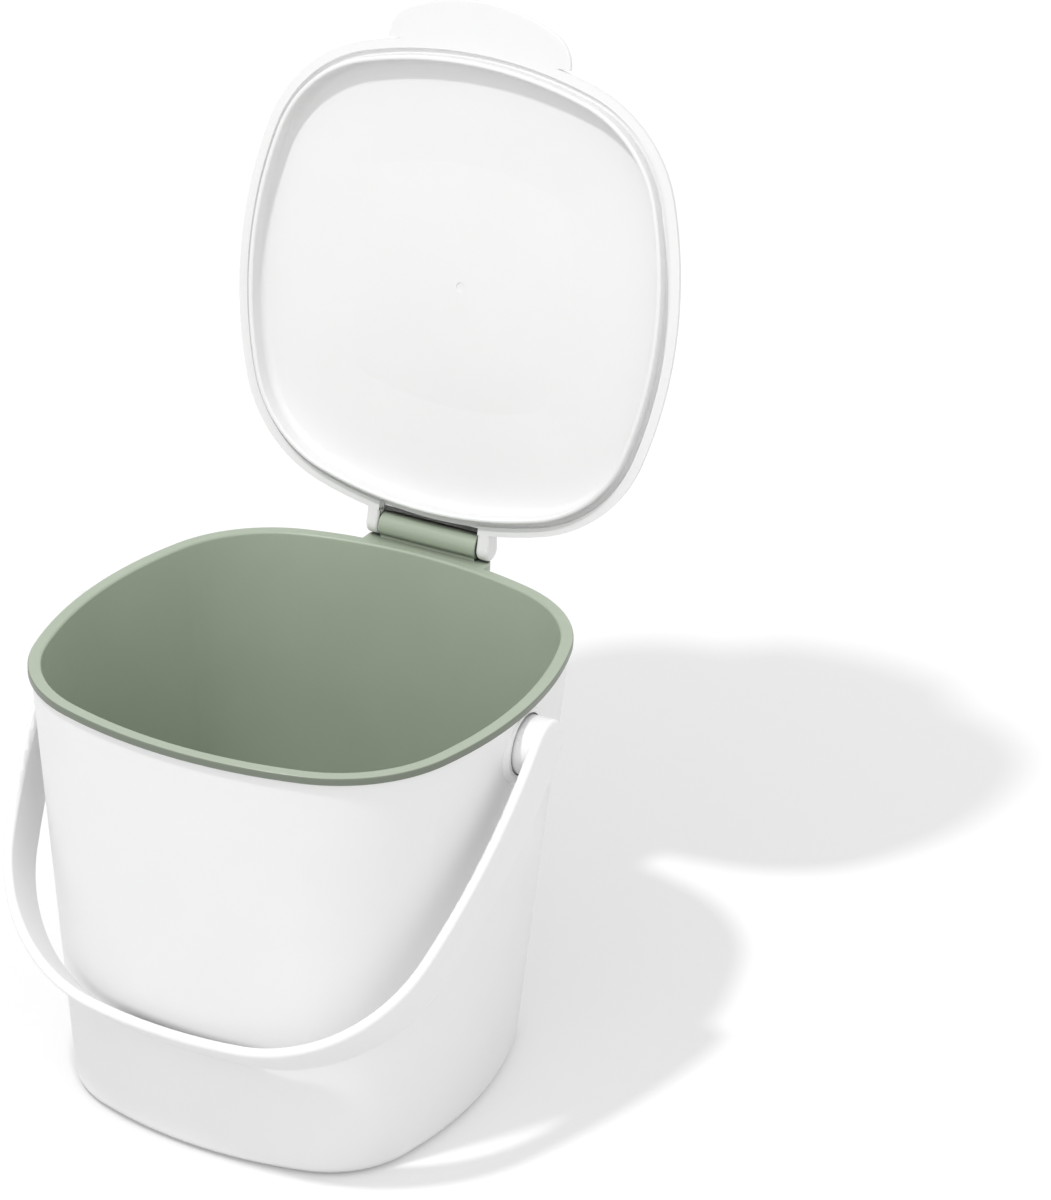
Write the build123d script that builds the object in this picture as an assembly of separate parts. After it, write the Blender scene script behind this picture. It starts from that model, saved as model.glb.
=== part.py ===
from build123d import *
import math
import os

# Kitchen compost bin: a tapered outer shell with a lined bucket, a hinged lid and a strap handle.
# Lengths are millimetres. The origin is the middle of the base on the worktop, +Z is up,
# the front of the bin faces -Y. The lid stands open on its stop and the handle hangs forward.
# A plan outline is measured at the outer edge of the bucket's rim, and every other outline is
# an offset from it, inward where the offset is negative.

# Plan outline at the rim: four side arcs and four corner arcs, all tangent
rim_half_width = 118.8
rim_half_depth = 119.8
side_radius = 220.0
corner_radius = 70.0

# Outer shell
base_inset = 19.2
shell_wall = 2.0
shell_floor = 2.6
shell_foot_radius = 6.0
shell_inside_radius = 4.0
foot_ring_width = 13.0
foot_recess = 1.8
foot_pad_radius = 12.0
foot_rib_thickness = 2.2
seat_rib_height = 8.8
seat_rib_thickness = 2.4
seat_rib_length = 110.0
seat_ring_radius = 38.0
floor_border = 20.0

# Bucket
bin_height = 226.8
rim_reveal = 1.4
rim_web = 2.0
rim_edge_radius = 1.0
rim_inner_radius = 1.4
rim_clearance = 0.1
lip_height = 3.6
bucket_wall = 1.8
bucket_rim_gap = 1.0
bucket_base_gap = 8.0
bucket_cove_radius = 16.0

# Hinge ledge and barrel, moulded on the back of the bucket's rim
hinge_setback = 6.5
hinge_rise = 6.0
barrel_radius = 6.4
barrel_half_length = 27.2
barrel_end_radius = 0.8
barrel_stem_width = 8.4
ledge_overlap = 4.6
ledge_thickness = 4.6
ledge_overhang = 5.4
ledge_end_step = 0.3
ledge_corner_radius = 9.0
ledge_edge_radius = 0.7
apron_drop = 9.0
apron_edge_radius = 3.0
gusset_thickness = 2.2
gusset_depth = 9.0
gusset_spacing = 22.0
pin_radius = 2.0
pin_running_clearance = 0.08
pin_end_chamfer = 0.4

# Stop lugs on the ears, running in arc slots in the barrel's ends
lug_pin_gap = 1.2
lug_cover = 1.5
lug_height = 1.4
lug_clearance = 0.3
lug_angle = 30.0
lug_closed_angle = 96.0
stop_gap_angle = 3.0

# Lid
open_angle = 99.3
lid_overhang = 0.8
lid_gap = 0.4
lid_wall = 2.4
lid_edge_height = 2.6
lid_edge_radius = 2.0
lid_land_width = 4.6
lid_shoulder_width = 8.0
lid_shoulder_height = 8.2
lid_shoulder_radius = 9.0
lid_crown_inset = 60.0
lid_crown_height = 10.8
groove_draft = 0.5
groove_height = 2.2
groove_radius = 0.8
plug_clearance = 0.7
plug_wall = 2.4
plug_depth = 4.8
plug_tip_radius = 1.1
lid_inner_radius = 3.5
gate_mark_radius = 2.5
gate_mark_depth = 0.4

# Lid tab
tab_half_width = 49.0
tab_reach = 20.6
tab_front_radius = 92.0
tab_corner_radius = 17.0
tab_thickness = 2.4
tab_edge_radius = 0.8

# Lid ears, the pocket that clears the barrel and the ledge, and the hood over the barrel
ear_gap = 0.5
ear_thickness = 6.8
ear_step = 0.5
ear_floor_gap = 0.5
ear_edge_radius = 1.8
pin_end_cover = 2.0
pocket_height = 4.6
barrel_clearance = 0.8
ledge_clearance = 0.5
hood_wall = 2.0
hood_angle = 85.0

# Handle
pivot_drop = 21.2
pivot_y = 2.0
strap_thickness = 5.0
strap_width = 29.0
strap_edge_radius = 2.2
bow_side_gap = 11.0
bow_front_gap = 61.2
bow_side_radius = 450.0
bow_front_radius = 333.0
bow_corner_radius = 89.0
handle_rest_gap = 0.3
hub_step = 0.1
hub_wall = 2.4
hub_core_depth = 5.5
stud_radius = 6.0
stud_boss_radius = 8.0
stud_end_chamfer = 0.4

# Handle sockets in the shell and the rings that keep the studs in
socket_proud = 1.6
socket_depth = 1.5
socket_web = 1.4
socket_clearance = 0.8
socket_collar_wall = 2.2
socket_collar_flare = 1.8
socket_running_gap = 0.4
stud_running_clearance = 0.08
ring_width = 2.0
ring_thickness = 0.7
ring_gap = 0.2
ring_seat_clearance = 0.6
stud_end_gap = 0.15

# How far cutting bodies run past the faces that they cut
overrun = 2.0

# Places that follow from the sizes above
shell_top = bin_height - rim_web
shell_slope = (base_inset - rim_reveal) / shell_top
lip_bottom = bin_height - lip_height
rim_width = rim_reveal + shell_wall + bucket_rim_gap + bucket_wall
bucket_base_inset = base_inset + shell_wall + bucket_base_gap
bucket_floor_under = foot_recess + shell_floor + seat_rib_height
bucket_floor_top = bucket_floor_under + bucket_wall
hinge_y = rim_half_depth + hinge_setback
hinge_z = bin_height + hinge_rise
ear_radius = barrel_radius - ear_step
ear_inside = barrel_half_length + ear_gap
ear_outside = ear_inside + ear_thickness
ledge_half_width = ear_outside - ledge_end_step
ledge_front_y = rim_half_depth - ledge_overlap
ledge_top_z = hinge_z - ear_radius - ear_floor_gap
ledge_bottom_z = ledge_top_z - ledge_thickness
lug_inner_radius = pin_radius + lug_pin_gap
lug_outer_radius = barrel_radius - lug_cover
lid_plane_z = bin_height + lid_gap
lid_back_y = rim_half_depth + lid_overhang
plug_inset = lid_overhang + rim_width + plug_clearance
pivot_z = bin_height - pivot_drop
hub_radius = strap_width / 2 - hub_step
bow_half_span = rim_half_width + bow_side_gap
bow_reach = rim_half_depth + bow_front_gap
ring_outer_radius = stud_radius + ring_width
socket_wall_x = rim_half_width - rim_reveal - (shell_top - pivot_z) * shell_slope
socket_face_x = socket_wall_x + socket_proud
socket_floor_x = socket_face_x - socket_depth
socket_back_x = socket_floor_x - socket_web


def meeting_centre(centre_a, reach_a, centre_b, reach_b):
    """Return the outer point that lies reach_a from one centre and reach_b from the other."""
    dx, dy = centre_b[0] - centre_a[0], centre_b[1] - centre_a[1]
    span = math.hypot(dx, dy)
    along = (reach_a**2 - reach_b**2 + span**2) / (2 * span)
    across = math.sqrt(reach_a**2 - along**2)
    foot = (centre_a[0] + dx * along / span, centre_a[1] + dy * along / span)
    side = (-dy * across / span, dx * across / span)
    points = [(foot[0] + k * side[0], foot[1] + k * side[1]) for k in (-1, 1)]
    return max(points, key=sum)


def quadrant_arcs(half_width, half_depth, radius_x, radius_y, radius_corner):
    """Return the side, corner and end arcs of one quadrant as (centre, radius, start, end)."""
    side = (half_width - radius_x, 0)
    end = (0, half_depth - radius_y)
    corner = meeting_centre(side, radius_x - radius_corner, end, radius_y - radius_corner)
    first = math.degrees(math.atan2(corner[1] - side[1], corner[0] - side[0]))
    last = math.degrees(math.atan2(corner[1] - end[1], corner[0] - end[0]))
    return [
        (side, radius_x, 0, first),
        (corner, radius_corner, first, last),
        (end, radius_y, last, 90),
    ]


def mirrored(arc, flip_x, flip_y):
    """Return an arc of the first quadrant mirrored into another one, still counter-clockwise."""
    (x, y), radius, start, end = arc
    if flip_x:
        x, start, end = -x, 180 - end, 180 - start
    if flip_y:
        y, start, end = -y, -end, -start
    return ((x, y), radius, start, end)


def plan_arcs():
    """Return the eight arcs of the plan outline at the rim, each as (centre, radius, start, end)."""
    side, corner, end = quadrant_arcs(
        rim_half_width, rim_half_depth, side_radius, side_radius, corner_radius
    )
    arcs = []
    for flip_x, flip_y in ((False, False), (True, False), (True, True), (False, True)):
        arcs.append(mirrored(corner, flip_x, flip_y))
    (x, y), radius, start, last = side
    arcs.append(((x, y), radius, -last, last))
    arcs.append(((-x, y), radius, 180 - last, 180 + last))
    (x, y), radius, first, _ = end
    arcs.append(((x, y), radius, first, 180 - first))
    arcs.append(((x, -y), radius, first - 180, -first))
    return arcs


def plan_face(offset):
    """Return the face inside the plan outline moved outward by offset."""
    edges = []
    for centre, radius, start, end in plan_arcs():
        edges.append(CenterArc(centre, radius + offset, start, end - start))
    return make_face(Wire(edges))


def plan_plate(offset, bottom, top):
    """Return a flat plate with the offset plan outline."""
    return Pos(0, 0, bottom) * extrude(plan_face(offset), amount=top - bottom)


def plan_ring(profile):
    """Carry a wall profile round the plan outline. The profile's x is offset and y is height."""
    ring = None
    for centre, radius, start, end in plan_arcs():
        turn = math.radians(start)
        plane = Plane(
            origin=(centre[0], centre[1], 0),
            x_dir=(math.cos(turn), math.sin(turn), 0),
            z_dir=(math.sin(turn), -math.cos(turn), 0),
        )
        face = plane * (Pos(radius, 0) * profile)
        sector = revolve(face, Axis((centre[0], centre[1], 0), (0, 0, 1)), end - start)
        ring = sector if ring is None else ring + sector
    return ring


def rounded_profile(corners):
    """Return the closed face through corners given as (x, y, fillet radius)."""
    points = [(x, y) for x, y, _ in corners]
    radii = [radius for _, _, radius in corners]
    return make_face(FilletPolyline(*points, radius=radii, close=True))


def x_cylinder(radius, x_from, x_to, y, z):
    """Return a cylinder along X between two stations."""
    length = abs(x_to - x_from)
    return Pos((x_from + x_to) / 2, y, z) * Rot(0, 90, 0) * Cylinder(radius, length)


def block(x_from, x_to, y_from, y_to, z_from, z_to):
    """Return a block between two corners."""
    box = Box(x_to - x_from, y_to - y_from, z_to - z_from)
    return Pos((x_from + x_to) / 2, (y_from + y_to) / 2, (z_from + z_to) / 2) * box


def shell_offset(height):
    """Return the plan offset of the shell's outer face at a height."""
    return -rim_reveal - (shell_top - height) * shell_slope


def shell_wall_ring():
    """Return the tapered wall with its rounded foot and foot ring."""
    inner_foot = -base_inset - foot_ring_width
    border = -base_inset - floor_border
    floor_top = foot_recess + shell_floor
    return plan_ring(rounded_profile([
        (-rim_reveal, shell_top, 0),
        (-base_inset, 0, shell_foot_radius),
        (inner_foot, 0, 0),
        (inner_foot, foot_recess, 0),
        (border, foot_recess, 0),
        (border, floor_top, 0),
        (shell_offset(floor_top) - shell_wall, floor_top, shell_inside_radius),
        (-rim_reveal - shell_wall, shell_top, 0),
    ]))


def foot_ribs():
    """Return the crossed ribs and the middle pad under the floor, level with the foot ring."""
    half = foot_rib_thickness / 2
    reach_x = rim_half_width - base_inset - foot_ring_width + overrun
    reach_y = rim_half_depth - base_inset - foot_ring_width + overrun
    ribs = block(-reach_x, reach_x, -half, half, 0, foot_recess)
    ribs += block(-half, half, -reach_y, reach_y, 0, foot_recess)
    return ribs + Pos(0, 0, foot_recess / 2) * Cylinder(foot_pad_radius, foot_recess)


def seat_ribs():
    """Return the crossed ribs and the round rib on the shell's floor that carry the bucket."""
    bottom = foot_recess + shell_floor
    top = bucket_floor_under
    half = seat_rib_thickness / 2
    ribs = block(-seat_rib_length / 2, seat_rib_length / 2, -half, half, bottom, top)
    ribs += block(-half, half, -seat_rib_length / 2, seat_rib_length / 2, bottom, top)
    rise = Pos(0, 0, (bottom + top) / 2)
    round_rib = Cylinder(seat_ring_radius + half, top - bottom)
    round_rib -= Cylinder(seat_ring_radius - half, top - bottom)
    return ribs + rise * round_rib


def socket_body():
    """Return the right-hand flared collar that thickens the wall round a handle stud."""
    radius = hub_radius + socket_clearance + socket_collar_wall
    reach = radius + socket_collar_flare
    collar = Cone(reach, radius, socket_face_x - socket_back_x)
    collar = Pos((socket_face_x + socket_back_x) / 2, pivot_y, pivot_z) * Rot(0, 90, 0) * collar
    headroom = block(
        socket_back_x - overrun, socket_face_x + overrun, pivot_y - reach, pivot_y + reach,
        shell_top, shell_top + reach,
    )
    return collar - headroom


def socket_cut():
    """Return the right-hand cut: the hub's recess, the stud's hole and the ring's flat seat."""
    recess = x_cylinder(
        hub_radius + socket_clearance, socket_floor_x, socket_face_x + overrun, pivot_y, pivot_z
    )
    hole = x_cylinder(
        stud_radius + stud_running_clearance, socket_back_x - overrun, socket_face_x, pivot_y, pivot_z
    )
    seat = x_cylinder(
        ring_outer_radius + ring_seat_clearance, socket_back_x - overrun, socket_back_x, pivot_y, pivot_z
    )
    return recess + hole + seat


def outer_shell():
    """Return the shell with its two handle sockets."""
    shell = shell_wall_ring()
    shell += plan_plate(-base_inset - floor_border, foot_recess, foot_recess + shell_floor)
    shell += foot_ribs()
    shell += seat_ribs()
    body, cut = socket_body(), socket_cut()
    return shell + body + mirror(body, Plane.YZ) - cut - mirror(cut, Plane.YZ)


def bucket_ring():
    """Return the bucket's wall with its rolled rim and coved floor edge."""
    lip_inner = -rim_reveal + rim_clearance
    border = -bucket_base_inset - floor_border
    return plan_ring(rounded_profile([
        (0, lip_bottom, 0),
        (0, bin_height, rim_edge_radius),
        (-rim_width, bin_height, rim_inner_radius),
        (-bucket_base_inset, bucket_floor_top, bucket_cove_radius),
        (border, bucket_floor_top, 0),
        (border, bucket_floor_under, 0),
        (-bucket_base_inset + bucket_wall, bucket_floor_under, bucket_cove_radius + bucket_wall),
        (-rim_width + bucket_wall, shell_top, 0),
        (lip_inner, shell_top, 0),
        (lip_inner, lip_bottom, 0),
    ]))


def hinge_ledge():
    """Return the raised ledge behind the rim, notched over the shell's top edge."""
    back = hinge_y + ledge_overhang
    behind_lip = rim_half_depth - rim_reveal + rim_clearance
    ledge = block(
        -ledge_half_width, ledge_half_width, ledge_front_y, back, ledge_bottom_z, ledge_top_z
    )
    corners = ledge.edges().filter_by(Axis.Z).group_by(Axis.Y)[-1]
    ledge = fillet(corners, ledge_corner_radius)
    ledge = fillet(ledge.faces().sort_by(Axis.Z)[-1].edges(), ledge_edge_radius)
    return ledge - block(
        -ledge_half_width - overrun, ledge_half_width + overrun,
        ledge_front_y - overrun, behind_lip, ledge_bottom_z - overrun, shell_top,
    )


def ledge_apron():
    """Return the apron that hangs from the rim's lip under the ledge, with its three gussets."""
    foot = lip_bottom - apron_drop
    inner = -rim_reveal + rim_clearance
    apron = plan_plate(0, foot, lip_bottom) - plan_plate(inner, foot, lip_bottom)
    apron &= block(-ledge_half_width, ledge_half_width, 0, hinge_y, foot, lip_bottom)
    apron = fillet(apron.edges().filter_by(Axis.Y).group_by(Axis.Z)[0], apron_edge_radius)
    web = Plane.YZ * make_face(Polyline(
        (ledge_front_y, ledge_bottom_z),
        (rim_half_depth + gusset_depth, ledge_bottom_z),
        (rim_half_depth, foot),
        (ledge_front_y, foot),
        close=True,
    ))
    web = extrude(web, amount=gusset_thickness / 2, both=True)
    hollow = plan_plate(-rim_reveal / 2, foot - overrun, ledge_bottom_z + overrun)
    for step in (-1, 0, 1):
        apron += Pos(step * gusset_spacing, 0, 0) * web - hollow
    return apron


def lug_slot(side):
    """Return the arc slot in one barrel end that the ear's stop lug runs in."""
    sweep = open_angle + lug_angle + 2 * stop_gap_angle
    start = lug_closed_angle - open_angle - lug_angle / 2 - stop_gap_angle
    inner = lug_inner_radius - lug_clearance
    outer = lug_outer_radius + lug_clearance
    depth = lug_height + lug_clearance + ear_gap
    return arc_block(inner, outer, start, sweep, side * (barrel_half_length - depth + ear_gap),
                     side * (barrel_half_length + overrun))


def arc_block(inner, outer, start, sweep, x_from, x_to):
    """Return a block bounded by two radii and two angles about the hinge axis."""
    arc_in = CenterArc((0, 0), inner, start, sweep)
    arc_out = CenterArc((0, 0), outer, start, sweep)
    face = make_face(Wire([arc_in, Line(arc_in @ 1, arc_out @ 1), arc_out, Line(arc_out @ 0, arc_in @ 0)]))
    solid = extrude(Plane.YZ * face, amount=abs(x_to - x_from))
    return Pos(min(x_from, x_to), hinge_y, hinge_z) * solid


def hinge_barrel():
    """Return the bored barrel on its stem."""
    barrel = x_cylinder(barrel_radius, -barrel_half_length, barrel_half_length, hinge_y, hinge_z)
    barrel = fillet(barrel.edges().filter_by(GeomType.CIRCLE), barrel_end_radius)
    half = barrel_stem_width / 2
    stem_half = barrel_half_length - barrel_end_radius
    barrel += block(
        -stem_half, stem_half, hinge_y - half, hinge_y + half, ledge_bottom_z, hinge_z
    )
    barrel -= x_cylinder(
        pin_radius + pin_running_clearance,
        -barrel_half_length - overrun, barrel_half_length + overrun, hinge_y, hinge_z,
    )
    for side in (-1, 1):
        barrel -= lug_slot(side)
    return barrel


def inner_bucket():
    """Return the bucket with its rim, hinge ledge and barrel."""
    bucket = bucket_ring()
    bucket += plan_plate(
        -bucket_base_inset - floor_border, bucket_floor_under, bucket_floor_top
    )
    bucket += hinge_ledge()
    bucket += ledge_apron()
    bucket += hinge_barrel()
    return bucket


def lid_ring():
    """Return the lid from its edge to the crown: land, shoulder, groove and plug."""
    edge = lid_overhang
    plug_outer = edge - plug_inset
    plug_inner = plug_outer - plug_wall
    z = lid_plane_z
    return plan_ring(rounded_profile([
        (edge, z, 0),
        (edge, z + lid_edge_height, lid_edge_radius),
        (edge - lid_shoulder_width, z + lid_shoulder_height, lid_shoulder_radius),
        (edge - lid_crown_inset, z + lid_crown_height, 0),
        (edge - lid_crown_inset, z + lid_crown_height - lid_wall, 0),
        (plug_inner, z + lid_shoulder_height - lid_wall, lid_inner_radius),
        (plug_inner, z - plug_depth, plug_tip_radius),
        (plug_outer, z - plug_depth, plug_tip_radius),
        (plug_outer, z + groove_height, groove_radius),
        (edge - lid_land_width - groove_draft, z + groove_height, groove_radius),
        (edge - lid_land_width, z, 0),
    ]))


def lid_tab():
    """Return the flat thumb tab in line with the lid's lower edge."""
    front = -lid_back_y - tab_reach
    arc_y = front + tab_front_radius
    reach = tab_front_radius - tab_corner_radius
    corner_x = tab_half_width - tab_corner_radius
    corner_y = arc_y - math.sqrt(reach**2 - corner_x**2)
    turn = math.degrees(math.atan2(corner_y - arc_y, corner_x))
    root = -lid_back_y + lid_shoulder_width / 2
    right = CenterArc((corner_x, corner_y), tab_corner_radius, 0, turn)
    middle = CenterArc((0, arc_y), tab_front_radius, turn, -180 - 2 * turn)
    left = CenterArc((-corner_x, corner_y), tab_corner_radius, -180 - turn, turn)
    sides = Polyline(left @ 1, (-tab_half_width, root), (tab_half_width, root), right @ 0)
    face = make_face(Wire([right, middle, left] + sides.edges()))
    plate = Pos(0, 0, lid_plane_z) * extrude(face, amount=tab_thickness)
    rims = plate.faces().sort_by(Axis.Z)
    edges = rims[0].edges() + rims[-1].edges()
    edges = edges.filter_by(lambda edge: edge.center().Y < root - tab_edge_radius)
    return fillet(edges, tab_edge_radius)


def lid_ear(side):
    """Return one ear: a round lobe on the hinge axis joined to the lid's shoulder."""
    root_y = lid_back_y - plug_inset
    lobe = Pos(hinge_y, hinge_z) * CenterArc((0, 0), ear_radius, 0, 360)
    root = Polyline(
        (root_y, lid_plane_z + lid_shoulder_height),
        (root_y, lid_plane_z + pocket_height),
        (lid_back_y - lid_land_width, lid_plane_z),
    )
    outline = make_hull(lobe.edges() + root.edges())
    ear = Pos(ear_inside, 0, 0) * extrude(Plane.YZ * outline, amount=ear_thickness)
    ear = fillet(ear.edges() - ear.edges().filter_by(Axis.X), ear_edge_radius)
    ear += arc_block(
        lug_inner_radius, lug_outer_radius, lug_closed_angle - lug_angle / 2, lug_angle,
        ear_inside - ear_gap - lug_height, ear_inside + overrun / 2,
    )
    return ear if side > 0 else mirror(ear, Plane.YZ)


def barrel_hood():
    """Return the curved hood that joins the ears over the barrel."""
    inner = barrel_radius + barrel_clearance
    return arc_block(
        inner, inner + hood_wall, 180 - hood_angle, hood_angle,
        -ear_inside - overrun, ear_inside + overrun,
    )


def pin_bore():
    """Return the pin's bore: through the left ear and blind in the right one."""
    return x_cylinder(pin_radius, -ear_outside - overrun, ear_outside - pin_end_cover, hinge_y, hinge_z)


def opened(part):
    """Return a part of the closed lid turned about the hinge to the open stop."""
    return Pos(0, hinge_y, hinge_z) * Rot(-open_angle, 0, 0) * Pos(0, -hinge_y, -hinge_z) * part


def lid():
    """Return the lid, open on its stop."""
    body = lid_ring()
    top = lid_plane_z + lid_crown_height
    body += plan_plate(lid_overhang - lid_crown_inset, top - lid_wall, top)
    body -= Pos(0, 0, top - lid_wall) * Cylinder(gate_mark_radius, 2 * gate_mark_depth)
    body += barrel_hood()
    body -= block(
        -ear_inside, ear_inside, lid_back_y - plug_inset, lid_back_y + overrun,
        lid_plane_z - overrun, lid_plane_z + pocket_height,
    )
    body -= block(
        -ledge_half_width - ledge_clearance, ledge_half_width + ledge_clearance,
        ledge_front_y - ledge_clearance, lid_back_y + overrun,
        lid_plane_z - overrun, ledge_top_z + ledge_clearance,
    )
    body -= x_cylinder(barrel_radius + barrel_clearance, -ear_inside, ear_inside, hinge_y, hinge_z)
    for side in (-1, 1):
        body += lid_ear(side)
    body += lid_tab()
    return opened(body - pin_bore())


def hinge_pin():
    """Return the pin, pressed in the lid's ears."""
    pin = x_cylinder(
        pin_radius, -ear_outside + pin_end_cover / 2, ear_outside - pin_end_cover, hinge_y, hinge_z
    )
    return chamfer(pin.edges().filter_by(GeomType.CIRCLE), pin_end_chamfer)


def hang_angle():
    """Return how far from straight down the handle hangs when it leans on the front wall."""
    lean = math.hypot(1, shell_slope)
    reach = bow_reach - strap_thickness + strap_edge_radius
    back = strap_width / 2 - strap_edge_radius
    wall_y = rim_half_depth + shell_offset(0)
    target = wall_y + pivot_y + shell_slope * pivot_z + (strap_edge_radius + handle_rest_gap) * lean
    sine_part = reach + shell_slope * back
    cosine_part = shell_slope * reach - back
    size = math.hypot(sine_part, cosine_part)
    return math.degrees(math.asin(target / size) - math.atan2(cosine_part, sine_part))


def strap_section():
    """Return the strap's cross-section: thickness along x and width along y."""
    return RectangleRounded(strap_thickness, strap_width, strap_edge_radius)


def handle_bow():
    """Return the bent strap in the XZ plane, hanging from the pivot axis at the origin."""
    side, corner, end = quadrant_arcs(
        bow_half_span, bow_reach, bow_side_radius, bow_front_radius, bow_corner_radius
    )
    half = [side, corner]
    arcs = [mirrored(arc, False, True) for arc in half] + [mirrored(arc, True, True) for arc in half]
    centre, radius, first, _ = end
    arcs.append(((centre[0], -centre[1]), radius, first - 180, -first))
    bow = None
    for centre, radius, start, last in arcs:
        turn = math.radians(start)
        plane = Plane(
            origin=(centre[0], 0, centre[1]),
            x_dir=(math.cos(turn), 0, math.sin(turn)),
            z_dir=(-math.sin(turn), 0, math.cos(turn)),
        )
        face = plane * (Pos(radius - strap_thickness / 2, 0) * strap_section())
        axis = Axis((centre[0], 0, centre[1]), (0, -1, 0))
        piece = revolve(face, axis, last - start)
        bow = piece if bow is None else bow + piece
    return bow


def handle_end(side):
    """Return the strap's round end with the hub and stud that turn in the shell's socket."""
    section = Plane.XY * strap_section()
    half = section & (Pos(0, strap_width / 2) * Rectangle(strap_thickness, strap_width))
    half = Pos(bow_half_span - strap_thickness / 2, 0, 0) * half
    cap = revolve(half, Axis((0, 0, 0), (1, 0, 0)), 180)
    inside = socket_floor_x + socket_running_gap
    stud_end = socket_back_x - ring_gap - ring_thickness - stud_end_gap
    hub = x_cylinder(hub_radius, inside, bow_half_span - strap_thickness / 2, 0, 0)
    core = x_cylinder(hub_radius - hub_wall, inside - overrun, inside + hub_core_depth, 0, 0)
    core -= x_cylinder(stud_boss_radius, inside - overrun, inside + hub_core_depth, 0, 0)
    stud = x_cylinder(stud_radius, stud_end, inside + overrun, 0, 0)
    stud = chamfer(stud.edges().filter_by(GeomType.CIRCLE).sort_by(Axis.X)[0], stud_end_chamfer)
    end = cap + hub - core + stud
    return end if side > 0 else mirror(end, Plane.YZ)


def hung(part):
    """Return a part of the straight hanging handle turned forward to the front wall."""
    return Pos(0, pivot_y, pivot_z) * Rot(-hang_angle(), 0, 0) * part


def handle():
    """Return the strap handle, hanging on the front wall."""
    return hung(handle_bow() + handle_end(1) + handle_end(-1))


def stud_rings():
    """Return the two push-on rings that keep the handle's studs behind the shell's wall."""
    rings = []
    for side in (-1, 1):
        outer = side * (socket_back_x - ring_gap)
        inner = side * (socket_back_x - ring_gap - ring_thickness)
        ring = x_cylinder(ring_outer_radius, inner, outer, pivot_y, pivot_z)
        ring -= x_cylinder(stud_radius, inner - side * overrun, outer + side * overrun, pivot_y, pivot_z)
        rings.append(ring)
    return Compound(children=rings)


def main():
    """Build every piece and write it to its own file."""
    os.makedirs("parts", exist_ok=True)
    pieces = {
        "outer_shell": outer_shell(),
        "inner_bucket": inner_bucket(),
        "lid": lid(),
        "hinge_pin": hinge_pin(),
        "handle": handle(),
        "stud_rings": stud_rings(),
    }
    for name, piece in pieces.items():
        export_step(piece, "parts/" + name + ".step")
        print(name, round(piece.volume, 1))
    print("handle hangs at", round(hang_angle(), 2), "degrees")


main()
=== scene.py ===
"""Looks for a kitchen compost bin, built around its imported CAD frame.

The CAD nodes keep their meshes and get moulded plastic and steel finishes. Every length is in
metres, in the frame of the CAD: +Z up, the front of the bin faces -Y, +X is its right-hand side.
"""

import logging
import math
from dataclasses import dataclass
from typing import Any

import bpy
import numpy as np
from mathutils import Matrix, Vector


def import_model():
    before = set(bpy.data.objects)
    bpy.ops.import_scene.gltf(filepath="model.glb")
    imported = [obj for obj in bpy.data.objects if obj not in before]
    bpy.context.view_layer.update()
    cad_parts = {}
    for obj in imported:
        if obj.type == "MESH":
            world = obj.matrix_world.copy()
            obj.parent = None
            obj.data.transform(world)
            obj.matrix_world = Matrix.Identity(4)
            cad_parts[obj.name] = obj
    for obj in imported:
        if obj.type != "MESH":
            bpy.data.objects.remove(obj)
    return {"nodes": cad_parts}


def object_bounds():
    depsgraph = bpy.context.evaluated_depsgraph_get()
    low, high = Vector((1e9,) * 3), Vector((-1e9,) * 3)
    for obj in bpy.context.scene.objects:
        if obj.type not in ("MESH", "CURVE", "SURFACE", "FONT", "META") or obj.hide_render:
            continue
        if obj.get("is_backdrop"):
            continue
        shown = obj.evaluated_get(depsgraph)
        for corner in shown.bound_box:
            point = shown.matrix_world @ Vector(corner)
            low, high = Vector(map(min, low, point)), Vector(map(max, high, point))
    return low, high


LOG = logging.getLogger("compost_bin")
NOISE_LOW = 0.3
NOISE_HIGH = 0.7
GAP_SAMPLES = 8
VALUE_OPERATIONS = {"DOT_PRODUCT", "LENGTH", "DISTANCE"}

Triple = tuple[float, float, float]
Socket = bpy.types.NodeSocket


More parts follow.
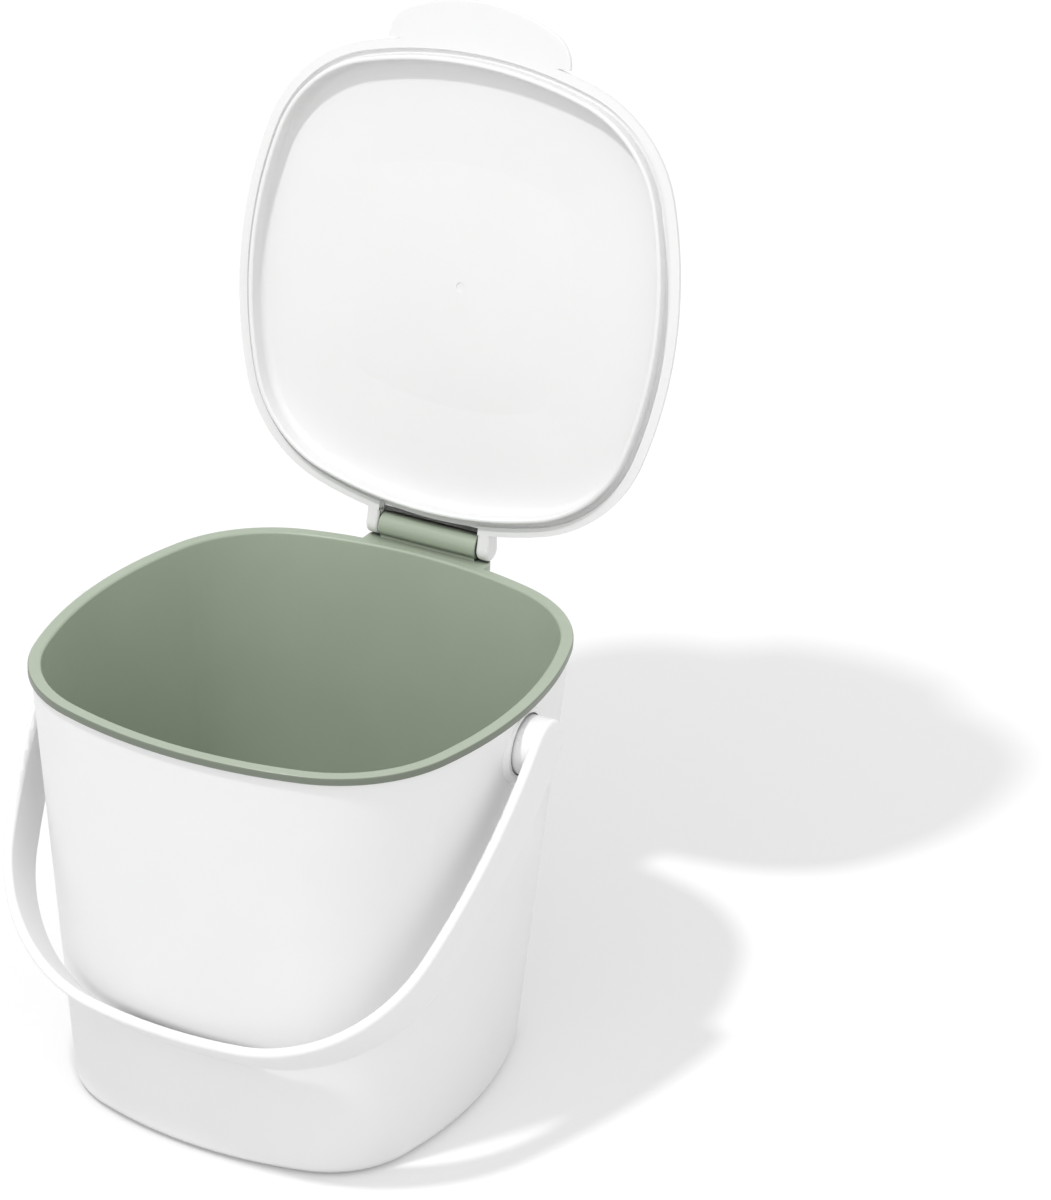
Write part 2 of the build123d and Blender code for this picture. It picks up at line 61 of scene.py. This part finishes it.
class Graph:
    """A material's or a world's node tree, with short calls for the nodes that it uses."""

    def __init__(self, owner: bpy.types.Material | bpy.types.World) -> None:
        """Start an empty tree.

        Args:
            owner: the material or the world whose tree it is.
        """
        owner.use_nodes = True
        self.owner = owner
        self.tree = owner.node_tree
        self.tree.nodes.clear()
        self.place = self.node("TexCoord")

    def node(self, kind: str, **values: Any) -> bpy.types.Node:
        """Add a node.

        Args:
            kind: the node's type name without its ShaderNode prefix.
            values: attributes of the node to set.

        Returns:
            The new node.
        """
        made = self.tree.nodes.new("ShaderNode" + kind)
        for key, value in values.items():
            setattr(made, key, value)
        return made

    def link(self, source: Socket, target: Socket) -> None:
        """Join an output socket to an input socket."""
        self.tree.links.new(source, target)

    def feed(self, source: Socket | float | Triple, target: Socket) -> None:
        """Give an input socket a fixed value or another socket's value.

        Args:
            source: the value, or the output socket that has it.
            target: the input socket.
        """
        if isinstance(source, bpy.types.NodeSocket):
            self.link(source, target)
        else:
            target.default_value = source

    def math(self, operation: str, *terms: Socket | float) -> Socket:
        """Work out a sum, a product or another function of one or two values.

        Args:
            operation: the Math node's operation.
            terms: the values, or their sockets.

        Returns:
            The result's socket.
        """
        made = self.node("Math", operation=operation)
        for term, target in zip(terms, made.inputs):
            self.feed(term, target)
        return made.outputs["Value"]

    def vector(self, operation: str, *terms: Socket | Triple) -> Socket:
        """Work out a function of one or two vectors.

        Args:
            operation: the Vector Math node's operation.
            terms: the vectors, or their sockets.

        Returns:
            The result's socket: a value for VALUE_OPERATIONS and a vector for the others.
        """
        made = self.node("VectorMath", operation=operation)
        for term, target in zip(terms, made.inputs):
            self.feed(term, target)
        return made.outputs["Value" if operation in VALUE_OPERATIONS else "Vector"]

    def coordinate(self, axis: str) -> Socket:
        """Read one Object coordinate of the shaded point.

        Args:
            axis: "X", "Y" or "Z".

        Returns:
            The coordinate's socket.
        """
        parts = self.node("SeparateXYZ")
        self.link(self.place.outputs["Object"], parts.inputs["Vector"])
        return parts.outputs[axis]

    def every(self, *shares: Socket) -> Socket:
        """Multiply shares from 0 to 1, so that the product is 1 only where they all are.

        Args:
            shares: two or more sockets.

        Returns:
            The product's socket.
        """
        product, *others = shares
        for other in others:
            product = self.math("MULTIPLY", product, other)
        return product

    def noise(self, scale: float, octaves: float, stretch: Triple = (1, 1, 1)) -> Socket:
        """Add a noise texture on Object coordinates.

        Args:
            scale: cells per metre.
            octaves: how many finer copies are laid over the coarsest.
            stretch: factors on the three coordinates before the texture.

        Returns:
            The noise's value socket, mostly between NOISE_LOW and NOISE_HIGH.
        """
        mapping = self.node("Mapping")
        mapping.inputs["Scale"].default_value = stretch
        texture = self.node("TexNoise")
        texture.inputs["Scale"].default_value = scale
        texture.inputs["Detail"].default_value = octaves
        self.link(self.place.outputs["Object"], mapping.inputs["Vector"])
        self.link(mapping.outputs["Vector"], texture.inputs["Vector"])
        return texture.outputs["Fac"]

    def spread(
        self, source: Socket, low: float, high: float,
        start: float = NOISE_LOW, stop: float = NOISE_HIGH
    ) -> Socket:
        """Map a value's span to a range, and hold it at the range's ends.

        Args:
            source: the value's socket.
            low: the result at start.
            high: the result at stop.
            start: the lowest value that is told apart.
            stop: the highest value that is told apart.

        Returns:
            The mapped value's socket.
        """
        mapped = self.node("MapRange")
        mapped.inputs["From Min"].default_value = start
        mapped.inputs["From Max"].default_value = stop
        mapped.inputs["To Min"].default_value = low
        mapped.inputs["To Max"].default_value = high
        self.link(source, mapped.inputs["Value"])
        return mapped.outputs["Result"]

    def between(self, share: Socket, first: Triple, second: Triple) -> Socket:
        """Mix two colours by a value.

        Args:
            share: 0 gives the first colour and 1 the second.
            first: linear red, green and blue.
            second: linear red, green and blue.

        Returns:
            The mixed colour's socket.
        """
        mix = self.node("Mix", data_type="RGBA")
        ends = [socket for socket in mix.inputs if socket.type == "RGBA"]
        for socket, colour in zip(ends, (first, second)):
            socket.default_value = (*colour, 1)
        self.link(share, mix.inputs["Factor"])
        return next(socket for socket in mix.outputs if socket.type == "RGBA")

    def scaled(self, colour: Socket, factor: Socket) -> Socket:
        """Multiply a colour by a value.

        Args:
            colour: the colour's socket.
            factor: the value's socket.

        Returns:
            The darker or lighter colour's socket.
        """
        made = self.node("VectorMath", operation="SCALE")
        self.link(colour, made.inputs["Vector"])
        self.link(factor, made.inputs["Scale"])
        return made.outputs["Vector"]

    def shaded(self, colour: Socket, mask: Socket, share: float) -> Socket:
        """Darken a colour under a mask.

        Args:
            colour: the colour's socket.
            mask: the mask's socket, 0 where the colour stays and 1 where it is darkest.
            share: what is left of the colour where it is darkest.

        Returns:
            The darkened colour's socket.
        """
        return self.scaled(colour, self.spread(mask, 1, share, start=0, stop=1))

    def bump(self, height: Socket, depth: float, under: Socket | None = None) -> Socket:
        """Add a bump.

        Args:
            height: the height's socket, from 0 to 1.
            depth: the depth of the relief in metres.
            under: the normal of a bump that this one lies on.

        Returns:
            The normal's socket.
        """
        made = self.node("Bump")
        made.inputs["Distance"].default_value = depth
        self.link(height, made.inputs["Height"])
        if under is not None:
            self.link(under, made.inputs["Normal"])
        return made.outputs["Normal"]

    def openness(self, reach: float) -> Socket:
        """Measure how open the surface is: 1 in the open and 0 deep in a gap.

        Args:
            reach: how far the gap's other side may be, in metres.

        Returns:
            The value's socket.
        """
        made = self.node("AmbientOcclusion", samples=GAP_SAMPLES)
        made.inputs["Distance"].default_value = reach
        self.link(self.node("NewGeometry").outputs["True Normal"], made.inputs["Normal"])
        return made.outputs["AO"]

    def output(
        self, shader: Socket, kind: str = "OutputMaterial"
    ) -> bpy.types.Material | bpy.types.World:
        """Join a shader to the surface.

        Args:
            shader: the shader's socket.
            kind: the output node's type name without its ShaderNode prefix.

        Returns:
            The finished material or world.
        """
        self.link(shader, self.node(kind).inputs["Surface"])
        return self.owner


@dataclass(frozen=True)
class MouldedPlastic:
    """Injection-moulded polypropylene.

    It has faint flow clouding, a fine spark-eroded grain, slow ripples from shrinkage, uneven
    gloss with hairline scuffs, and painted shade: its colour is darkened in the narrow gaps.
    Scales are cells per metre, and depths and reaches are metres.
    """

    name: str
    colour: Triple
    cloud_colour: Triple
    roughness_low: float
    roughness_high: float
    subsurface: float
    gap_shade_share: float
    gap_reach: float = 0.007
    gap_from: float = 0.0
    gap_shut: float = 0.08
    gap_open: float = 0.62
    cloud_scale: float = 14.0
    cloud_octaves: float = 4.0
    gloss_scale: float = 42.0
    gloss_octaves: float = 5.0
    grain_scale: float = 2600.0
    grain_octaves: float = 2.0
    grain_depth: float = 0.000012
    ripple_scale: float = 45.0
    ripple_octaves: float = 2.0
    ripple_depth: float = 0.00006
    scuff_scale: float = 160.0
    scuff_octaves: float = 3.0
    scuff_stretch: Triple = (0.12, 0.12, 3.0)
    scuff_from: float = 0.58
    scuff_full: float = 0.7
    scuff_roughness: float = 0.07
    specular: float = 0.5
    subsurface_tint: Triple = (1.0, 0.95, 0.85)
    subsurface_reach: float = 0.002

    def toned(self, graph: Graph, colour: Socket) -> Socket:
        """Paint shade: darken the colour in the gaps that lie above the height gap_from.

        Args:
            graph: the material's tree.
            colour: the colour in the open.

        Returns:
            The darkened colour's socket.
        """
        # painted shade: the colour is darkened where a near surface hems the point in
        openness = graph.spread(
            graph.openness(self.gap_reach), self.gap_shade_share, 1,
            start=self.gap_shut, stop=self.gap_open
        )
        below = graph.math("LESS_THAN", graph.coordinate("Z"), self.gap_from)
        return graph.scaled(colour, graph.math("MAXIMUM", openness, below))

    def gloss(self, graph: Graph) -> Socket:
        """Give the roughness: slow patches from low to high, with scuffs on top.

        Args:
            graph: the material's tree.

        Returns:
            The roughness's socket.
        """
        scuffs = graph.spread(
            graph.noise(self.scuff_scale, self.scuff_octaves, self.scuff_stretch),
            0, self.scuff_roughness, start=self.scuff_from, stop=self.scuff_full
        )
        patches = graph.spread(
            graph.noise(self.gloss_scale, self.gloss_octaves),
            self.roughness_low, self.roughness_high
        )
        return graph.math("ADD", patches, scuffs)

    def relief(self, graph: Graph) -> Socket:
        """Give the normal: the fine grain over the slow ripples.

        Args:
            graph: the material's tree.

        Returns:
            The normal's socket.
        """
        ripples = graph.noise(self.ripple_scale, self.ripple_octaves)
        grain = graph.noise(self.grain_scale, self.grain_octaves)
        return graph.bump(grain, self.grain_depth, graph.bump(ripples, self.ripple_depth))

    def material(self) -> bpy.types.Material:
        """Build the node tree.

        Returns:
            The finished material.
        """
        graph = Graph(bpy.data.materials.new(self.name))
        shader = graph.node("BsdfPrincipled")
        cloud = graph.spread(graph.noise(self.cloud_scale, self.cloud_octaves), 0, 1)
        colour = graph.between(cloud, self.colour, self.cloud_colour)
        graph.link(self.toned(graph, colour), shader.inputs["Base Color"])
        graph.link(self.gloss(graph), shader.inputs["Roughness"])
        graph.link(self.relief(graph), shader.inputs["Normal"])
        shader.inputs["Specular IOR Level"].default_value = self.specular
        shader.inputs["Subsurface Weight"].default_value = self.subsurface
        shader.inputs["Subsurface Radius"].default_value = self.subsurface_tint
        shader.inputs["Subsurface Scale"].default_value = self.subsurface_reach
        return graph.output(shader.outputs["BSDF"])


@dataclass(frozen=True)
class LippedPlastic(MouldedPlastic):
    """Moulded plastic with shade painted on its rim lip's outer face, which is darker than the
    rest.
    """

    lip_low: float = 0.2226
    lip_high: float = 0.2268
    lip_shade_share: float = 0.45
    outward_from: float = 0.5
    outward_full: float = 0.8

    def toned(self, graph: Graph, colour: Socket) -> Socket:
        """Paint shade: darken the colour in the gaps and on the lip's outer face.

        A point is on that face where it lies between the lip's heights and its normal points
        away from the bin's axis: the normal's product with the level direction from the axis to
        the point grows from outward_from to outward_full.

        Args:
            graph: the material's tree.
            colour: the colour in the open.

        Returns:
            The darkened colour's socket.
        """
        level = graph.vector("MULTIPLY", graph.place.outputs["Object"], (1, 1, 0))
        away = graph.vector("NORMALIZE", level)
        facing = graph.vector("DOT_PRODUCT", away, graph.place.outputs["Normal"])
        outward = graph.spread(facing, 0, 1, start=self.outward_from, stop=self.outward_full)
        height = graph.coordinate("Z")
        above = graph.math("GREATER_THAN", height, self.lip_low)
        below = graph.math("LESS_THAN", height, self.lip_high)
        # painted shade on the lip's outer face: the colour there is darkened
        painted_lip_shade = graph.every(above, below, outward)
        return graph.shaded(super().toned(graph, colour), painted_lip_shade, self.lip_shade_share)


@dataclass(frozen=True)
class PocketedPlastic(MouldedPlastic):
    """Moulded plastic with shade painted into its hinge pocket, which is dark."""

    hinge_middle: Triple = (0, 0.1263, 0.2328)
    pocket_half_length: float = 0.0282
    pocket_reach: float = 0.0108
    pocket_edge: float = 0.0012
    pocket_shade_share: float = 0.1

    def toned(self, graph: Graph, colour: Socket) -> Socket:
        """Paint shade: darken the colour in the gaps and in the hinge pocket.

        A point is in the pocket where it lies within pocket_reach of the hinge's axis, between
        the ears, and its normal points at the axis. The mask fades over pocket_edge.

        Args:
            graph: the material's tree.
            colour: the colour in the open.

        Returns:
            The darkened colour's socket.
        """
        inward = graph.vector("SUBTRACT", self.hinge_middle, graph.place.outputs["Object"])
        across = graph.vector("MULTIPLY", inward, (0, 1, 1))
        near = graph.spread(
            graph.vector("LENGTH", across), 1, 0,
            start=self.pocket_reach - self.pocket_edge, stop=self.pocket_reach
        )
        facing = graph.vector("DOT_PRODUCT", across, graph.place.outputs["Normal"])
        facing = graph.math("GREATER_THAN", facing, 0)
        side = graph.math("ABSOLUTE", graph.coordinate("X"))
        between_ears = graph.math("LESS_THAN", side, self.pocket_half_length)
        # painted shade: the colour in the hinge pocket is darkened
        pocket = graph.every(near, facing, between_ears)
        return graph.shaded(super().toned(graph, colour), pocket, self.pocket_shade_share)


@dataclass(frozen=True)
class DrawnSteel:
    """Drawn steel wire: fine lines along X and a soft metal gloss."""

    name: str
    colour: Triple
    dark_colour: Triple
    line_scale: float = 900.0
    line_octaves: float = 3.0
    line_stretch: Triple = (0.02, 1, 1)
    line_depth: float = 0.00001
    roughness_low: float = 0.25
    roughness_high: float = 0.42

    def material(self) -> bpy.types.Material:
        """Build the node tree.

        Returns:
            The finished material.
        """
        graph = Graph(bpy.data.materials.new(self.name))
        shader = graph.node("BsdfPrincipled")
        lines = graph.noise(self.line_scale, self.line_octaves, self.line_stretch)
        colour = graph.between(graph.spread(lines, 0, 1), self.colour, self.dark_colour)
        roughness = graph.spread(lines, self.roughness_low, self.roughness_high)
        graph.link(colour, shader.inputs["Base Color"])
        graph.link(roughness, shader.inputs["Roughness"])
        graph.link(graph.bump(lines, self.line_depth), shader.inputs["Normal"])
        shader.inputs["Metallic"].default_value = 1
        return graph.output(shader.outputs["BSDF"])


@dataclass(frozen=True)
class Dresser:
    """Gives the CAD nodes their finishes."""

    nodes: dict[str, bpy.types.Object]

    def dress(self, node: str, material: bpy.types.Material) -> None:
        """Put one material on every slot of a CAD node.

        Args:
            node: the node's name.
            material: the finish.
        """
        mesh = self.nodes[node].data
        mesh.materials.clear()
        mesh.materials.append(material)
        LOG.info("dressed %s in %s", node, material.name)


@dataclass(frozen=True)
class PhotoCamera:
    """The camera that took the photograph, as fitted to it.

    Right and up are the picture's axes in the frame. The focal length is in pixels of the
    photograph, which is higher than wide, so the sensor's size is the picture's height.
    """

    position: Triple = (0.7765, -1.36189, 1.03488)
    right: Triple = (0.8904, 0.4535, 0.0379)
    up: Triple = (-0.2328, 0.3824, 0.8942)
    focal_px: float = 3732.25
    photo_height_px: float = 1200.0
    sensor_mm: float = 36.0
    nearest: float = 0.05
    farthest: float = 50.0

    def build(self) -> bpy.types.Object:
        """Make the camera and give it to the scene.

        Returns:
            The camera object.
        """
        data = bpy.data.cameras.new("photo_camera")
        data.sensor_width = self.sensor_mm
        data.sensor_fit = "AUTO"
        data.lens = self.focal_px * self.sensor_mm / self.photo_height_px
        data.clip_start = self.nearest
        data.clip_end = self.farthest
        right = Vector(self.right).normalized()
        up = Vector(self.up)
        up = (up - right * up.dot(right)).normalized()
        back = right.cross(up)
        turn = Matrix((right, up, back)).transposed().to_4x4()
        camera = bpy.data.objects.new("photo_camera", data)
        camera.matrix_world = Matrix.Translation(self.position) @ turn
        bpy.context.scene.collection.objects.link(camera)
        bpy.context.scene.camera = camera
        return camera


@dataclass(frozen=True)
class Studio:
    """A pale floor, a soft white surround and one soft key lamp, high on the front left.

    The surround lights a direction d by surround + surround_lean . d, so it is stronger from the
    right, which fills the side that the key lamp leaves in shade, and from the front. The lamp is
    as strong near as far, so that the lid and the base are lit alike.
    """

    floor_half: float = 8.0
    floor_colour: Triple = (0.66, 0.66, 0.66)
    floor_lift: float = 0.225
    floor_lift_far: float = 0.3
    surround: float = 0.86
    surround_lean: Triple = (0.20, -0.20, -0.05)
    key_position: Triple = (-0.199, -0.707, 1.632)
    key_strength: float = 1.35
    key_radius: float = 0.05

    def floor(self) -> bpy.types.Object:
        """Make the floor: the plane z = 0 over the square |x|, |y| <= floor_half.

        Returns:
            The floor object.
        """
        signs = np.array([(-1, -1, 0), (1, -1, 0), (1, 1, 0), (-1, 1, 0)])
        mesh = bpy.data.meshes.new("floor")
        mesh.from_pydata((signs * self.floor_half).tolist(), [], [(0, 1, 2, 3)])
        floor = bpy.data.objects.new("floor", mesh)
        bpy.context.scene.collection.objects.link(floor)
        floor.data.materials.append(self.floor_material())
        floor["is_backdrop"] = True
        return floor

    def floor_material(self) -> bpy.types.Material:
        """Build a matt floor that the camera and reflections see lifted to white.

        The lift is floor_lift + floor_lift_far * (1 - c), where c is the cosine of the angle
        between the lamp's light and straight down: the lamp's height over its distance.

        Returns:
            The finished material.
        """
        graph = Graph(bpy.data.materials.new("floor_white"))
        matt = graph.node("BsdfDiffuse")
        matt.inputs["Color"].default_value = (*self.floor_colour, 1)
        path = graph.node("LightPath")
        seen = graph.math("MAXIMUM", path.outputs["Is Camera Ray"], path.outputs["Is Glossy Ray"])
        seen = graph.math("MAXIMUM", seen, path.outputs["Is Transmission Ray"])
        distance = graph.vector("DISTANCE", graph.place.outputs["Object"], self.key_position)
        lamp_height = self.key_position[2]
        cosine = graph.math("DIVIDE", lamp_height, distance)
        farthest_lift = self.floor_lift + self.floor_lift_far
        lift = graph.spread(cosine, farthest_lift, self.floor_lift, start=0, stop=1)
        glow = graph.node("Emission")
        graph.link(graph.math("MULTIPLY", seen, lift), glow.inputs["Strength"])
        both = graph.node("AddShader")
        graph.link(matt.outputs["BSDF"], both.inputs[0])
        graph.link(glow.outputs["Emission"], both.inputs[1])
        return graph.output(both.outputs["Shader"])

    def sky(self) -> bpy.types.World:
        """Make the surround, which the camera and reflections see as even white.

        Returns:
            The world.
        """
        graph = Graph(bpy.data.worlds.new("surround"))
        lean = graph.vector("DOT_PRODUCT", graph.place.outputs["Generated"], self.surround_lean)
        seen = graph.math("ADD", lean, self.surround)
        path = graph.node("LightPath")
        for ray in ("Is Camera Ray", "Is Glossy Ray", "Is Transmission Ray"):
            swap = graph.node("Mix")
            graph.link(path.outputs[ray], swap.inputs["Factor"])
            graph.link(seen, swap.inputs["A"])
            swap.inputs["B"].default_value = 1
            seen = swap.outputs["Result"]
        background = graph.node("Background")
        background.inputs["Color"].default_value = (1, 1, 1, 1)
        graph.link(seen, background.inputs["Strength"])
        world = graph.output(background.outputs["Background"], "OutputWorld")
        bpy.context.scene.world = world
        return world

    def key(self) -> bpy.types.Object:
        """Make the soft key lamp, with key_strength watts per square metre at any distance.

        Returns:
            The lamp object.
        """
        data = bpy.data.lights.new("key", "POINT")
        data.energy = 4 * math.pi * self.key_strength
        data.shadow_soft_size = self.key_radius
        data.use_nodes = True
        even = data.node_tree.nodes.new("ShaderNodeLightFalloff")
        even.inputs["Strength"].default_value = 1
        glow = data.node_tree.nodes["Emission"]
        data.node_tree.links.new(even.outputs["Constant"], glow.inputs["Strength"])
        lamp = bpy.data.objects.new("key", data)
        lamp.location = self.key_position
        bpy.context.scene.collection.objects.link(lamp)
        return lamp

    def build(self) -> None:
        """Make the floor, the surround and the key lamp."""
        self.floor()
        self.sky()
        self.key()
        bpy.context.scene.view_settings.view_transform = "Standard"


WHITE = MouldedPlastic(
    name="white_polypropylene",
    colour=(0.875, 0.875, 0.875),
    cloud_colour=(0.855, 0.855, 0.855),
    roughness_low=0.3,
    roughness_high=0.42,
    subsurface=0.12,
    gap_shade_share=0.3,
)
# painted shade: the lid's white is darker than the shell's, where the key lamp lights the lid
# more strongly
SHADED_LID_WHITE = PocketedPlastic(
    name="lid_polypropylene",
    colour=(0.815, 0.815, 0.815),
    cloud_colour=(0.8, 0.8, 0.8),
    roughness_low=0.3,
    roughness_high=0.42,
    subsurface=0.12,
    gap_shade_share=1.0,
)
SAGE = LippedPlastic(
    name="sage_polypropylene",
    colour=(0.38, 0.435, 0.345),
    cloud_colour=(0.36, 0.415, 0.325),
    roughness_low=0.29,
    roughness_high=0.41,
    subsurface=0.02,
    gap_shade_share=0.1,
    gap_reach=0.012,
    gap_from=0.2215,
)
STEEL = DrawnSteel(
    name="drawn_steel",
    colour=(0.62, 0.62, 0.62),
    dark_colour=(0.5, 0.5, 0.5),
)


def corners() -> list[list[float]]:
    """Return the shown object's lowest and highest corners as plain lists."""
    return [[round(float(v), 6) for v in corner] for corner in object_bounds()]


def main(frame: dict[str, Any], cad_box: list[list[float]]) -> None:
    """Build the looks in order.

    Args:
        cad_box: the CAD model's lowest and highest corners; not used.
    """
    logging.basicConfig(level=logging.INFO)
    PhotoCamera().build()
    Studio().build()
    white, steel = WHITE.material(), STEEL.material()
    dresser = Dresser(frame["nodes"])
    dresser.dress("outer_shell", white)
    dresser.dress("inner_bucket", SAGE.material())
    dresser.dress("lid", SHADED_LID_WHITE.material())
    dresser.dress("hinge_pin", steel)
    dresser.dress("handle", white)
    dresser.dress("stud_rings", steel)


if __name__ == "__main__":
    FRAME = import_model()
    main(FRAME, corners())
